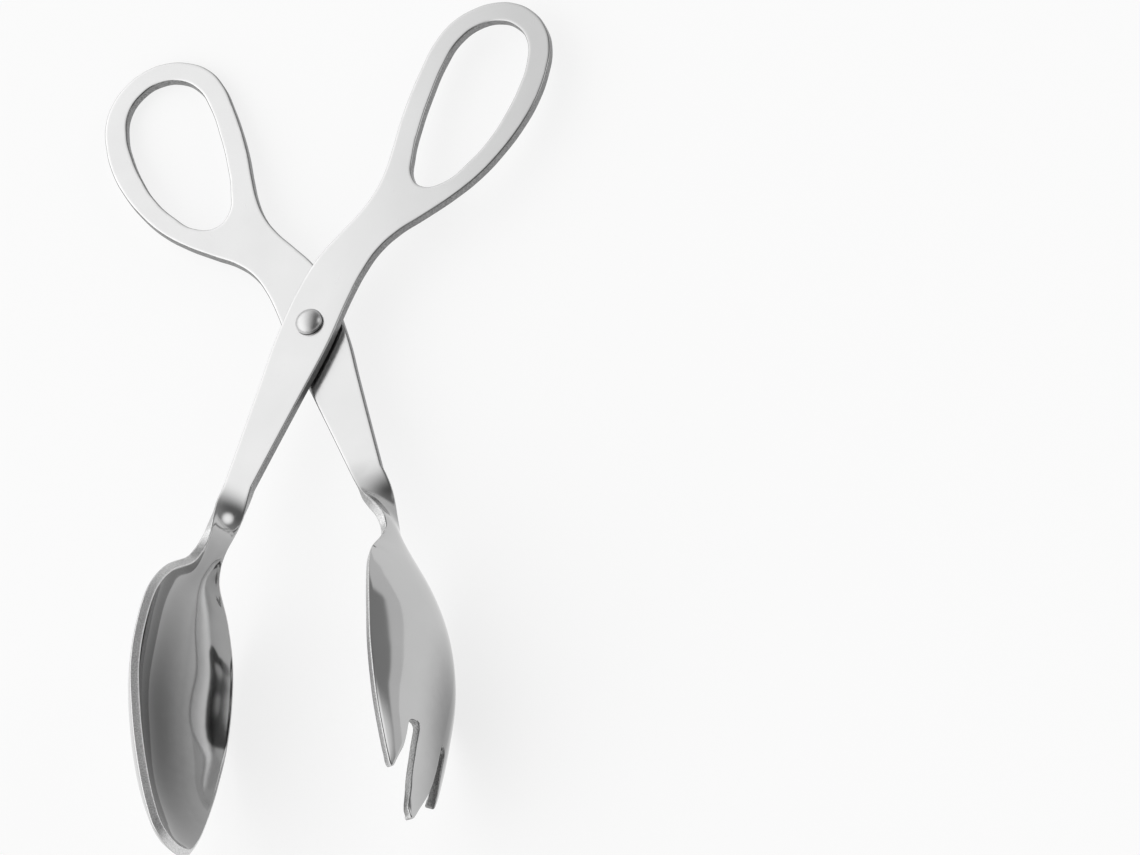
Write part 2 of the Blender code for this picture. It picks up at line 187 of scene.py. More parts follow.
def stainlessSheet(name, turn, face):
    # Stainless sheet, satin-ground on the handle and buffed bright on the head.
    # The satin lines run along the arm and smear its reflections. face says how
    # this face of the head is buffed and which painted shade it carries: it is painted
    # darker towards the loop's far side, and its patches are painted shade and painted
    # light, dark ovals and one light streak.
    look = stainless
    material, tree, shader = newMaterial(name)
    place = addNode(tree, "ShaderNodeTexCoord").outputs["Object"]
    level = addNode(tree, "ShaderNodeMapping", {"Rotation": (0.0, 0.0, turn)},
                    {"Vector": place})
    grainPlace = addNode(tree, "ShaderNodeMapping",
                         {"Scale": (1.0 / look["grainAcross"], 1.0 / look["grainAlong"],
                                    1.0 / look["grainAcross"])},
                         {"Vector": level.outputs["Vector"]})
    grain = addNode(tree, "ShaderNodeTexNoise",
                    {"Scale": 1.0, "Detail": 3.0, "Roughness": 0.6},
                    {"Vector": grainPlace.outputs["Vector"]})
    hairPlace = addNode(tree, "ShaderNodeMapping",
                        {"Rotation": (0.0, 0.0, look["hairTurn"]),
                         "Scale": (1.0 / look["hairAcross"], 1.0 / look["hairAlong"],
                                   1.0 / look["hairAcross"])},
                        {"Vector": level.outputs["Vector"]})
    hair = addNode(tree, "ShaderNodeTexNoise",
                   {"Scale": 1.0, "Detail": 5.0, "Roughness": 0.75},
                   {"Vector": hairPlace.outputs["Vector"]})
    hairLine = addNode(tree, "ShaderNodeMapRange",
                       {"interpolation_type": "SMOOTHSTEP",
                        "From Min": look["hairFrom"], "From Max": look["hairTo"]},
                       {"Value": hair.outputs["Fac"]})
    cloud = addNode(tree, "ShaderNodeTexNoise",
                    {"Scale": 1.0 / look["cloud"], "Detail": 3.0, "Roughness": 0.5},
                    {"Vector": place})
    along = addNode(tree, "ShaderNodeSeparateXYZ", None, {"Vector": place})
    polish = addNode(tree, "ShaderNodeMapRange",
                     {"interpolation_type": "SMOOTHSTEP", "From Min": look["polishFrom"],
                      "From Max": look["polishTo"]},
                     {"Value": along.outputs["Y"]})
    colour = addNode(tree, "ShaderNodeMix",
                     {"data_type": "RGBA", 6: linear(look["satinColour"]),
                      7: linear(face["colour"])},
                     {0: polish.outputs["Result"]})
    wiped = addNode(tree, "ShaderNodeMapRange",
                    {"To Min": look["wipedDark"], "To Max": look["wipedLight"]},
                    {"Value": cloud.outputs["Fac"]})
    # Painted shade: each face gets darker along X towards the loop's far side, down to the level
    # that the face gives.
    farSideShade = addNode(tree, "ShaderNodeMapRange",
                   {"From Min": look["farShadeFrom"], "From Max": look["farShadeTo"], "To Min": 1.0,
                    "To Max": face["farSideShade"]},
                   {"Value": along.outputs["X"]})
    stray = addNode(tree, "ShaderNodeTexNoise",
                    {"Scale": 1.0 / look["stray"], "Detail": 2.0}, {"Vector": place})
    wandering = addNode(tree, "ShaderNodeVectorMath",
                        {"operation": "MULTIPLY_ADD", 1: (look["strayReach"],) * 3},
                        {0: stray.outputs["Color"], 2: place})
    shade = addNode(tree, "ShaderNodeMath", {"operation": "MULTIPLY"},
                    {0: wiped.outputs["Result"], 1: farSideShade.outputs["Result"]})
    # Painted shade and painted light: each patch scales the colour by its keeps, darker below 1
    # and lighter above it.
    for patch in face["patches"]:
        inside = softPatch(tree, wandering.outputs["Vector"], patch)
        grey = addNode(tree, "ShaderNodeMapRange",
                       {"To Min": 1.0, "To Max": patch["keeps"]}, {"Value": inside})
        shade = addNode(tree, "ShaderNodeMath", {"operation": "MULTIPLY"},
                        {0: shade.outputs["Value"], 1: grey.outputs["Result"]})
    tint = addNode(tree, "ShaderNodeVectorMath", {"operation": "SCALE"},
                   {0: colour.outputs[2], "Scale": shade.outputs["Value"]})
    satin = addNode(tree, "ShaderNodeMapRange",
                    {"To Min": look["satinRoughness"] - look["satinSpread"],
                     "To Max": look["satinRoughness"] + look["satinSpread"]},
                    {"Value": grain.outputs["Fac"]})
    buffed = addNode(tree, "ShaderNodeMapRange",
                     {"To Min": face["roughness"] - look["buffedSpread"],
                      "To Max": face["roughness"] + look["buffedSpread"]},
                     {"Value": cloud.outputs["Fac"]})
    rough = addNode(tree, "ShaderNodeMix", {"data_type": "FLOAT"},
                    {0: polish.outputs["Result"], 2: satin.outputs["Result"],
                     3: buffed.outputs["Result"]})
    scuffed = addNode(tree, "ShaderNodeMath",
                      {"operation": "MULTIPLY_ADD", 1: look["hairRoughness"]},
                      {0: hairLine.outputs["Result"], 2: rough.outputs[0]})
    fade = addNode(tree, "ShaderNodeMapRange", {"To Min": 1.0, "To Max": look["grainLeft"]},
                   {"Value": polish.outputs["Result"]})
    bump = addNode(tree, "ShaderNodeBump", {"Distance": look["grainDepth"]},
                   {"Strength": fade.outputs["Result"], "Height": grain.outputs["Fac"]})
    wireMetal(tree, shader, {"Base Color": tint.outputs["Vector"],
                             "Roughness": scuffed.outputs["Value"],
                             "Normal": bump.outputs["Normal"]})
    return material


cutEdge = {
    "handle": ("#565656", "#a2a2a2"),    # torn and burnished zones of the sheared wall, painted dark on the handle as painted shade
    "spoonRim": ("#b2b2b2", "#ebebeb"),  # the same, once the spoon's rim is ground
    "forkRim": ("#9a9a9a", "#d4d4d4"),
    "tornTo": 0.30,              # noise level where the torn zone ends
    "burnishedFrom": 0.62,
    "roughness": 0.42,
    "spread": 0.08,              # how far the roughness strays to either side
    "striation": 0.00035,        # drag marks of the punch, twice as coarse as real ones
    "depth": 0.000008,
    "strength": 0.6,
    "edgeShadeEndsFrom": -0.006,        # along Y, where the handle's painted shade on the cut edge gives way to the head's rim
    "edgeShadeEndsTo": -0.034,
    # Painted shade: where the walls of the slots keep the handle's darker colours.
    "slots": {"y": -0.1060, "z": 0.0240, "halfY": 0.0200, "halfZ": 0.0125, "outer": 1.05,
              "inner": 0.88},
}


def shearedEdge(name, rim, slots=None):
    # The cut edge of a stamping: the punch burnishes it and drags fine lines
    # through it, and tumbling dulls it to a soft grey. The head's rim is ground and
    # lighter, and the handle's cut edge and the walls of the slots keep darker colours as
    # painted shade.
    look = cutEdge
    material, tree, shader = newMaterial(name)
    place = addNode(tree, "ShaderNodeTexCoord").outputs["Object"]
    along = addNode(tree, "ShaderNodeSeparateXYZ", None, {"Vector": place})
    drag = addNode(tree, "ShaderNodeTexNoise",
                   {"Scale": 1.0 / look["striation"], "Detail": 4.0, "Roughness": 0.7},
                   {"Vector": place})
    zone = addNode(tree, "ShaderNodeMapRange",
                   {"From Min": look["tornTo"], "From Max": look["burnishedFrom"]},
                   {"Value": drag.outputs["Fac"]})
    sides = []
    for torn, burnished in (look["handle"], look[rim]):
        sides.append(addNode(tree, "ShaderNodeMix",
                             {"data_type": "RGBA", 6: linear(torn), 7: linear(burnished)},
                             {0: zone.outputs["Result"]}))
    # Painted shade: the handle's cut edge is darker than the head's ground rim, and the slot
    # walls stay as dark as the handle's.
    groundRimUnshaded = addNode(tree, "ShaderNodeMapRange",
                     {"interpolation_type": "SMOOTHSTEP", "From Min": look["edgeShadeEndsFrom"],
                      "From Max": look["edgeShadeEndsTo"]},
                     {"Value": along.outputs["Y"]}).outputs["Result"]
    if slots:
        walls = softPatch(tree, place, slots)
        groundRimUnshaded = addNode(tree, "ShaderNodeMath",
                         {"operation": "SUBTRACT", "use_clamp": True},
                         {0: groundRimUnshaded, 1: walls}).outputs["Value"]
    colour = addNode(tree, "ShaderNodeMix", {"data_type": "RGBA"},
                     {0: groundRimUnshaded, 6: sides[0].outputs[2], 7: sides[1].outputs[2]})
    rough = addNode(tree, "ShaderNodeMapRange",
                    {"To Min": look["roughness"] - look["spread"],
                     "To Max": look["roughness"] + look["spread"]},
                    {"Value": drag.outputs["Fac"]})
    bump = addNode(tree, "ShaderNodeBump",
                   {"Distance": look["depth"], "Strength": look["strength"]},
                   {"Height": drag.outputs["Fac"]})
    wireMetal(tree, shader, {"Base Color": colour.outputs[2],
                             "Roughness": rough.outputs["Result"],
                             "Normal": bump.outputs["Normal"]})
    return material


rivetFinish = {
    "colour": "#bcbcbc",
    "roughness": 0.31,
    "smoother": 0.05,            # how far the roughness strays down and up
    "rougher": 0.06,
    "hammer": 0.0016,            # faint facets that the riveting tool leaves
    "hammerDepth": 0.00006,
    "hammerStrength": 0.5,
    "grain": 0.0002,
}


def headedRivet(name):
    # Stainless rivet wire, headed cold: bright, with the tool's faint facets.
    look = rivetFinish
    material, tree, shader = newMaterial(name)
    place = addNode(tree, "ShaderNodeTexCoord").outputs["Object"]
    facets = addNode(tree, "ShaderNodeTexNoise",
                     {"Scale": 1.0 / look["hammer"], "Detail": 1.0}, {"Vector": place})
    grain = addNode(tree, "ShaderNodeTexNoise",
                    {"Scale": 1.0 / look["grain"], "Detail": 3.0}, {"Vector": place})
    rough = addNode(tree, "ShaderNodeMapRange",
                    {"To Min": look["roughness"] - look["smoother"],
                     "To Max": look["roughness"] + look["rougher"]},
                    {"Value": grain.outputs["Fac"]})
    bump = addNode(tree, "ShaderNodeBump",
                   {"Distance": look["hammerDepth"], "Strength": look["hammerStrength"]},
                   {"Height": facets.outputs["Fac"]})
    shader.inputs["Base Color"].default_value = linear(look["colour"])
    wireMetal(tree, shader, {"Roughness": rough.outputs["Result"],
                             "Normal": bump.outputs["Normal"]})
    return material


handle = {
    "reach": 0.1028,
    "width": 0.0362,
    "holeLength": 0.0519,
    "holeWidth": 0.0239,
    "holeStart": 0.0450,
    "holeSide": 0.0055,
    "shankLength": 0.0500,
    "shankWidth": 0.0158,
    "shankEndWidth": 0.0082,
    "bore": 0.0050,
    "borePoints": 8,
    "fineness": 12,
    # Shares of width across and of reach along, from the shank's inner side
    # over the loop to its outer side.
    "outline": [
        (-0.198, 0.120), (-0.155, 0.195), (-0.070, 0.270), (0.010, 0.338),
        (0.053, 0.400), (0.060, 0.462), (0.040, 0.530), (0.010, 0.605),
        (-0.008, 0.690), (-0.010, 0.770), (0.003, 0.845), (0.065, 0.912),
        (0.185, 0.961), (0.335, 0.991), (0.500, 0.999), (0.665, 0.984),
        (0.810, 0.948), (0.915, 0.894), (0.972, 0.820), (0.988, 0.740),
        (0.965, 0.665), (0.905, 0.583), (0.808, 0.500), (0.668, 0.424),
        (0.505, 0.355), (0.365, 0.298), (0.277, 0.240), (0.236, 0.178),
        (0.218, 0.110),
    ],
    # Shares of the hole's own width and length.
    "hole": [
        (0.385, 0.000), (0.610, 0.045), (0.800, 0.180), (0.925, 0.330),
        (0.985, 0.490), (1.000, 0.640), (0.970, 0.780), (0.850, 0.915),
        (0.640, 0.987), (0.440, 1.000), (0.215, 0.957), (0.055, 0.855),
        (0.000, 0.715), (0.005, 0.520), (0.040, 0.340), (0.110, 0.165),
        (0.215, 0.045),
    ],
    # Share of the shank's length down from the rivet, and of its taper.
    "shankSide": [(0.120, 0.060), (0.400, 0.360), (0.700, 0.690)],
}


def addBezier(curve, points, kinds):
    spline = curve.splines.new("BEZIER")
    spline.bezier_points.add(len(points) - 1)
    spline.use_cyclic_u = True
    for target, point, kind in zip(spline.bezier_points, points, kinds):
        target.co = (point[0], point[1], 0.0)
        target.handle_left_type = kind
        target.handle_right_type = kind


def outlinePoints(side):
    # The blank's outline from one end of its end edge round to the other. side
    # is 1 where the loop lies towards +X and -1 where it lies towards -X.
    endHalf = 0.5 * handle["shankEndWidth"]
    fullHalf = 0.5 * handle["shankWidth"]
    length = handle["shankLength"]
    halves = [(fullHalf + taper * (endHalf - fullHalf), -along * length)
              for along, taper in handle["shankSide"]]
    loop = [(x * handle["width"], y * handle["reach"]) for x, y in handle["outline"]]
    points = [(-endHalf, -length)] + [(-half, y) for half, y in halves[::-1]] + loop
    points += halves + [(endHalf, -length)]
    kinds = ["VECTOR"] + ["AUTO"] * (len(points) - 2) + ["VECTOR"]
    return [(side * x, y) for x, y in points], kinds


def flatBlank(name, side, columnShares):
    # The stamped blank as one open face, and the vertices of its end edge in
    # order from -X to +X, one for each column that the head is drawn out in.
    curve = bpy.data.curves.new(name, "CURVE")
    curve.dimensions = "2D"
    curve.fill_mode = "BOTH"
    curve.resolution_u = handle["fineness"]
    points, kinds = outlinePoints(side)
    addBezier(curve, points, kinds)
    hole = [(side * (handle["holeSide"] + x * handle["holeWidth"]),
             handle["holeStart"] + y * handle["holeLength"]) for x, y in handle["hole"]]
    addBezier(curve, hole, ["AUTO"] * len(hole))
    turns = np.linspace(0.0, 2.0 * math.pi, handle["borePoints"], endpoint=False)
    bore = [(0.5 * handle["bore"] * math.cos(turn), 0.5 * handle["bore"] * math.sin(turn))
            for turn in turns]
    addBezier(curve, bore, ["AUTO"] * len(bore))
    holder = bpy.data.objects.new(name, curve)
    bpy.context.scene.collection.objects.link(holder)
    view = bpy.context.evaluated_depsgraph_get()
    mesh = bpy.data.meshes.new_from_object(holder.evaluated_get(view))
    bpy.data.objects.remove(holder)
    bpy.data.curves.remove(curve)
    bm = bmesh.new()
    bm.from_mesh(mesh)
    bpy.data.meshes.remove(mesh)
    bmesh.ops.remove_doubles(bm, verts=bm.verts, dist=sheet["join"])
    if sum(face.normal.z for face in bm.faces) < 0.0:
        bmesh.ops.reverse_faces(bm, faces=bm.faces)
    length = handle["shankLength"]
    endEdges = [edge for edge in bm.edges if edge.is_boundary
                and all(abs(vert.co.y + length) < sheet["join"] for vert in edge.verts)]
    bmesh.ops.subdivide_edges(bm, edges=endEdges,
                              cuts=(len(columnShares) - 1) // len(endEdges) - 1)
    for vert, share in zip(endRow(bm), columnShares):
        vert.co.x = 0.5 * share * handle["shankEndWidth"]
    bmesh.ops.triangulate(bm, faces=bm.faces)
    bmesh.ops.beautify_fill(bm, faces=bm.faces,
                            edges=[edge for edge in bm.edges if not edge.is_boundary])
    bmesh.ops.inset_region(bm, faces=bm.faces, thickness=sheet["rimMargin"],
                           use_boundary=True, use_even_offset=True)
    return bm, endRow(bm)


def endRow(bm):
    # The vertices across the shank's end, from -X to +X.
    level = -handle["shankLength"]
    row = [vert for vert in bm.verts if abs(vert.co.y - level) < sheet["join"]]
    return sorted(row, key=lambda vert: vert.co.x)


def smoothStep(share):
    share = np.clip(share, 0.0, 1.0)
    return share * share * (3.0 - 2.0 * share)


def smoothThrough(known, values, wanted):
    # One cubic between neighbours, with the slope of the two around each.
    slopes = np.gradient(values, known)
    place = np.clip(np.searchsorted(known, wanted) - 1, 0, len(known) - 2)
    span = known[place + 1] - known[place]
    t = (wanted - known[place]) / span
    return ((2.0 * t ** 3 - 3.0 * t ** 2 + 1.0) * values[place]
            + (t ** 3 - 2.0 * t ** 2 + t) * slopes[place] * span
            + (3.0 * t ** 2 - 2.0 * t ** 3) * values[place + 1]
            + (t ** 3 - t ** 2) * slopes[place + 1] * span)


def halfWidth(head, along):
    # Half the blank's width. Its square is what runs smoothly, so that the tip
    # is round.
    table = np.array(head["stations"])
    half = 0.5 * (table[:, 3] * handle["shankEndWidth"] + table[:, 4] * head["width"])
    known = table[:, 0] * head["length"]
    square = smoothThrough(known, half ** 2, np.asarray(along, float))
    return np.sqrt(np.maximum(square, 0.0))


def eased(head, column, along):
    # A column of the stations, averaged over a few millimetres so that bright
    # metal shows no ripple, and left as it is at both ends.
    table = np.array(head["stations"])
    known = table[:, 0] * head["length"]
    reach = head["easing"] * smoothStep(along / head["easingFrom"])
    reach = np.minimum(reach, np.minimum(along, head["length"] - along))
    steps = np.linspace(-1.0, 1.0, sheet["easingSteps"])
    weights = (1.0 - steps ** 2) / np.sum(1.0 - steps ** 2)
    return sum(weight * smoothThrough(known, table[:, column], along + step * reach)
               for step, weight in zip(steps, weights))


def pressed(head, along, aside):
    # Where the press puts a point of the blank that lies at along and aside.
    along, aside = np.asarray(along, float), np.asarray(aside, float)
    inward, opening = head["inward"], sheet["halfOpening"]
    swing = -inward * head["swing"] * eased(head, 1, along)
    height = head["rise"] * eased(head, 2, along)
    dish = head["depth"] * eased(head, 5, along)
    half = np.maximum(halfWidth(head, along), sheet["join"])
    roll = head["twist"] * smoothStep(along / head["twistLength"])
    yaw = inward * opening * smoothStep(along / head["yawLength"])
    run = np.array((inward * math.sin(opening), -math.cos(opening), 0.0))
    out = np.array((math.cos(opening), inward * math.sin(opening), 0.0))
    up = np.array((0.0, 0.0, 1.0))
    level = np.stack([np.cos(yaw), np.sin(yaw), np.zeros_like(yaw)], axis=-1)
    cosRoll, sinRoll = np.cos(roll)[..., None], np.sin(roll)[..., None]
    across = level * cosRoll - up * sinRoll
    facing = up * cosRoll + level * sinRoll
    bowl = -head["hollow"] * dish * (1.0 - np.minimum(np.abs(aside) / half, 1.0) ** 2)
    start = np.array((0.0, -handle["shankLength"], 0.0))
    return (start + run * along[..., None] + out * swing[..., None] + up * height[..., None]
            + across * aside[..., None] + facing * bowl[..., None])


def drawOut(bm, row, places):
    # Extrudes one row of the sheet's edge and puts the new row in its place.
    edges = [bm.edges.get((a, b)) for a, b in zip(row, row[1:])]
    made = bmesh.ops.extrude_edge_only(bm, edges=edges)["geom"]
    fresh = {item for item in made if isinstance(item, bmesh.types.BMVert)}
    nextRow = [next(edge.other_vert(vert) for edge in vert.link_edges
                    if edge.other_vert(vert) in fresh) for vert in row]
    for vert, place in zip(nextRow, places):
        vert.co = place
    return nextRow


def besideRims(low, high, shares):
    # Spreads a row's columns from low to high, and keeps the second and the
    # last but one at the rim margin. shares run from -1 to 1 between those.
    room = 0.5 * (high - low)
    margin = min(sheet["rimMargin"], sheet["marginLimit"] * room)
    middle = 0.5 * (low + high)
    inner = middle + (room - margin) * np.asarray(shares)
    return np.concatenate([[low], inner, [high]])


def endShares(shares):
    # The same columns on the shank's end edge, as shares of its half width.
    half = 0.5 * handle["shankEndWidth"]
    return besideRims(-half, half, shares) / half


spoon = {
    "length": 0.1098,
    "width": 0.0448,
    "depth": 0.0087,
    "swing": 0.0117,
    "rise": 0.0036,
    "twist": math.radians(80.0),
    "twistLength": 0.0190,
    "yawLength": 0.0200,
    "inward": 1.0,
    "hollow": 1.0,
    "columns": 26,
    "rows": 118,
    "easing": 0.0090,
    "easingFrom": 0.0300,
    "tipHalf": 0.0080,           # half width at which the round tip takes over
    "tipFrom": 0.45,             # share of the way there from which rows bend round it
    "outerFrom": 0.60,           # share of length past which the head only narrows
    # The bowl's colour is a darker copy of the back's, as painted shade. The far-side level
    # is what the loop's far side keeps of its brightness, as painted shade, and keeps is the
    # same for a patch: each patch is painted shade, the bowl's dark reflection and the neck's
    # shading painted in.
    "bowl": {
        "colour": "#b2b2b2", "roughness": 0.068, "farSideShade": 0.74,
        "patches": [
            {"y": -0.0807, "z": 0.0248, "halfY": 0.0460, "halfZ": 0.0195, "outer": 1.30,
             "inner": 0.10, "keeps": 0.23},
            {"y": -0.0327, "z": 0.0183, "halfY": 0.0085, "halfZ": 0.0200, "outer": 1.20,
             "inner": 0.30, "keeps": 0.84},
        ],
    },
    "back": {
        "colour": "#bdbdbd", "roughness": 0.120, "farSideShade": 0.90,
        "patches": [
            {"y": -0.0300, "z": 0.0220, "halfY": 0.0100, "halfZ": 0.0120, "outer": 1.20,
             "inner": 0.40, "keeps": 0.80},
        ],
    },
    # Share of length; of swing; of rise; half width as a share of the shank's
    # end and as a share of the head's own; share of depth.
    "stations": [
        (0.000, 0.000, 0.000, 1.000, 0.000, 0.000),
        (0.046, 0.115, 0.000, 1.000, 0.000, 0.000),
        (0.092, 0.190, -0.010, 0.980, 0.000, 0.000),
        (0.128, 0.280, -0.030, 1.010, 0.000, 0.000),
        (0.165, 0.385, -0.060, 1.030, 0.000, 0.045),
        (0.200, 0.510, -0.090, 1.130, 0.000, 0.140),
        (0.246, 0.645, -0.120, 0.000, 0.330, 0.350),
        (0.301, 0.760, -0.140, 0.000, 0.645, 0.580),
        (0.373, 0.830, -0.170, 0.000, 0.862, 0.790),
        (0.474, 0.905, -0.190, 0.000, 0.978, 0.930),
        (0.591, 0.980, -0.200, 0.000, 1.000, 1.000),
        (0.718, 1.000, -0.170, 0.000, 0.880, 0.900),
        (0.838, 0.978, -0.040, 0.000, 0.690, 0.690),
        (0.939, 0.890, 0.440, 0.000, 0.467, 0.380),
        (0.982, 0.840, 0.680, 0.000, 0.300, 0.190),
        (1.000, 0.815, 0.800, 0.000, 0.000, 0.000),
    ],
}


def rowsAlong(start, finish, count):
    # Even rows, past the one that is there.
    return np.linspace(start, finish, count + 1)[1:]


def drawSpoon(bm, row):
    fine = np.linspace(0.0, spoon["length"], sheet["searchSteps"])
    halves = halfWidth(spoon, fine)
    outer = fine > spoon["outerFrom"] * spoon["length"]

    def rimAt(half):
        # How far along the head its outer part has this half width.
        return np.interp(-half, -halves[outer], fine[outer])

    tipStart = float(rimAt(spoon["tipHalf"]))
    shares = np.linspace(-1.0, 1.0, spoon["columns"] - 1)
    for along in rowsAlong(0.0, tipStart, spoon["rows"]):
        half = float(halfWidth(spoon, along))
        aside = besideRims(-half, half, shares)
        reached = aside / half * spoon["tipHalf"]
        bulge = rimAt(np.abs(reached)) - tipStart
        share = smoothStep((along / tipStart - spoon["tipFrom"]) / (1.0 - spoon["tipFrom"]))
        farther = along + share * bulge
        limit = halfWidth(spoon, farther)
        aside = np.clip(aside, -limit, limit)
        row = drawOut(bm, row, pressed(spoon, farther, aside))


fork = {
    "length": 0.1123,
    "width": 0.0444,
    "depth": 0.0107,
    "swing": 0.0200,
    "rise": 0.0028,
    "twist": math.radians(82.5),
    "twistLength": 0.0190,
    "yawLength": 0.0200,
    "inward": -1.0,
    "hollow": -1.0,
    "slotWidth": 0.0036,
    "slotRoot": 0.0882,
    "slotSide": 0.0077,
    "sideTineReach": 0.1029,
    "sideTineSide": 0.0113,
    "tineColumns": (6, 8, 6),
    "slotColumns": 8,
    "rows": 108,
    "easing": 0.0090,
    "easingFrom": 0.0300,
    "tineRows": (14, 22, 14),
    "slotFrom": 0.012,           # how far before the slots their rounding starts
    "tipHalf": 0.0011,
    "tipBluntness": 1.4,         # 1 is a point and 2 an oval
    "tipShare": 0.75,            # of the point that is left after rounding
    # Painted shade: the bulge's patches paint in its dark reflection near the tines and the
    # shading of its neck.
    "bulge": {
        "colour": "#c0c0c0", "roughness": 0.070, "farSideShade": 1.00,
        "patches": [
            {"y": -0.0967, "z": 0.0113, "halfY": 0.0340, "halfZ": 0.0195, "outer": 1.30,
             "inner": 0.20, "keeps": 0.10},
            {"y": -0.0200, "z": 0.0153, "halfY": 0.0125, "halfZ": 0.0200, "outer": 1.10,
             "inner": 0.35, "keeps": 0.68},
        ],
    },
    # Blasted dull inside, with a dark spot painted in the hollow's root as painted shade
    # and a light streak painted in it as painted light. The spoon mirrors both as painted
    # reflections.
    "inside": {
        "colour": "#ececec", "roughness": 0.320, "farSideShade": 1.00,
        "patches": [
            {"y": -0.0439, "z": 0.0226, "halfY": 0.0075, "halfZ": 0.0034, "outer": 1.04,
             "inner": 0.94, "keeps": 0.13},
            {"y": -0.0468, "z": 0.0261, "halfY": 0.0024, "halfZ": 0.0012, "outer": 1.10,
             "inner": 0.80, "keeps": 0.20},
            {"y": -0.0449, "z": 0.0239, "halfY": 0.0013, "halfZ": 0.0019, "outer": 1.15,
             "inner": 0.65, "keeps": 6.60},
        ],
    },
    # The same columns as the spoon's.
    "stations": [
        (0.000, 0.000, 0.000, 1.000, 0.000, 0.000),
        (0.045, 0.131, 0.100, 0.990, 0.000, 0.000),
        (0.089, 0.260, 0.190, 0.920, 0.000, 0.000),
        (0.125, 0.354, 0.270, 0.950, 0.000, 0.000),
        (0.160, 0.435, 0.350, 1.070, 0.000, 0.045),
        (0.196, 0.470, 0.420, 1.130, 0.000, 0.125),
        (0.240, 0.467, 0.430, 0.000, 0.347, 0.345),
        (0.294, 0.472, 0.280, 0.000, 0.569, 0.665),
        (0.365, 0.553, 0.070, 0.000, 0.744, 0.885),
        (0.463, 0.668, -0.200, 0.000, 0.914, 1.000),
        (0.579, 0.771, -0.180, 0.000, 1.000, 0.936),
        (0.703, 0.854, 0.480, 0.000, 0.915, 0.730),
        (0.819, 0.923, 0.980, 0.000, 0.740, 0.520),
        (0.917, 0.962, 0.920, 0.000, 0.495, 0.310),
        (0.962, 0.970, 0.900, 0.000, 0.208, 0.155),
        (1.000, 1.020, 0.870, 0.000, 0.000, 0.000),
    ],
    # Slot edges: share of the way from the root to the tine's tip, and share
    # of the way from the side at the root to the side at that tip.
    "sideTineEdge": [
        (0.000, 0.000), (0.306, 0.000), (0.483, 0.120), (0.667, 0.500), (0.837, 0.780),
        (1.000, 1.000),
    ],
    "middleTineEdge": [
        (0.000, 0.000), (0.203, 0.020), (0.330, 0.070), (0.490, 0.160), (0.614, 0.280),
        (0.718, 0.430), (0.822, 0.590), (0.925, 0.780), (1.000, 1.000),
    ],
    "middleTipAside": -0.0012,   # the middle tine leans up a little
}


def slotEdge(table, reach, rootSide, tipSide, along):
    # How far aside a slot's edge lies, between its sides at the root and tip.
    table = np.array(table)
    share = (along - fork["slotRoot"]) / (reach - fork["slotRoot"])
    return rootSide + smoothThrough(table[:, 0], table[:, 1], share) * (tipSide - rootSide)


def tineEdges(tine, along):
    # Lower and upper edge of a tine of the blank. tine is -1, 0 or 1.
    if tine == 0:
        edge = slotEdge(fork["middleTineEdge"], fork["length"],
                        fork["slotSide"] - 0.5 * fork["slotWidth"], 0.0, along)
        lean = fork["middleTipAside"] * smoothStep((along - fork["slotRoot"])
                                                   / (fork["length"] - fork["slotRoot"]))
        return lean - edge, lean + edge
    inner = slotEdge(fork["sideTineEdge"], fork["sideTineReach"],
                     fork["slotSide"] + 0.5 * fork["slotWidth"], fork["sideTineSide"],
                     along)
    outer = halfWidth(fork, along)
    return (inner, outer) if tine > 0 else (-outer, -inner)


def forkColumns():
    # The inner columns as shares of the room between the rim margins at the
    # slots' root, how far each column is there from the middle of its slot,
    # and the run of columns that belongs to each tine.
    root = fork["slotRoot"]
    turns = np.linspace(math.pi, 0.0, fork["slotColumns"] + 1)[1:-1]
    radius = 0.5 * fork["slotWidth"]
    places, runs = [], []
    for tine, count in zip((-1, 0, 1), fork["tineColumns"]):
        low, high = tineEdges(tine, root)
        shares = np.linspace(-1.0, 1.0, count - 1)
        start = len(places)
        places += list(besideRims(float(low), float(high), shares))
        runs.append((start, len(places)))
        if tine < 1:
            middle = (tine + 0.5) * 2.0 * fork["slotSide"]
            places += list(middle + radius * np.cos(turns))
    places = np.array(places)
    shares = places[1:-1] / (places[-1] - sheet["rimMargin"])
    return shares, np.abs(np.abs(places) - fork["slotSide"]), runs


def drawTine(bm, row, tine, count):
    # Rows from the slots' root to where the tine has narrowed to its tip. The
    # last rows bulge more and more into that rounded point.
    root = fork["slotRoot"]
    fine = np.linspace(root, fork["length"], sheet["searchSteps"])
    low, high = tineEdges(tine, fine)
    room = 0.5 * (high - low)
    tipStart = fine[np.argmax(room < fork["tipHalf"])]
    tipReach = fork["tipShare"] * (fine[np.argmax(room <= sheet["join"])] - tipStart)
    turns = np.linspace(math.pi, 0.0, len(row))
    shares = np.linspace(-1.0, 1.0, len(row) - 2)
    bluntness = fork["tipBluntness"]
    reach = tipReach * (1.0 - np.abs(np.cos(turns)) ** bluntness) ** (1.0 / bluntness)
    places = rowsAlong(root, tipStart, count)
    for along in places:
        low, high = tineEdges(tine, along)
        offset = besideRims(float(low), float(high), shares) - 0.5 * (low + high)
        farther = along + smoothStep((along - root) / (tipStart - root)) * reach
        nearLow, nearHigh = tineEdges(tine, farther)
        offset = offset * (nearHigh - nearLow) / (high - low)
        if along == places[-1]:
            offset = 0.5 * (high - low) * np.cos(turns)
        row = drawOut(bm, row, pressed(fork, farther, 0.5 * (nearLow + nearHigh) + offset))


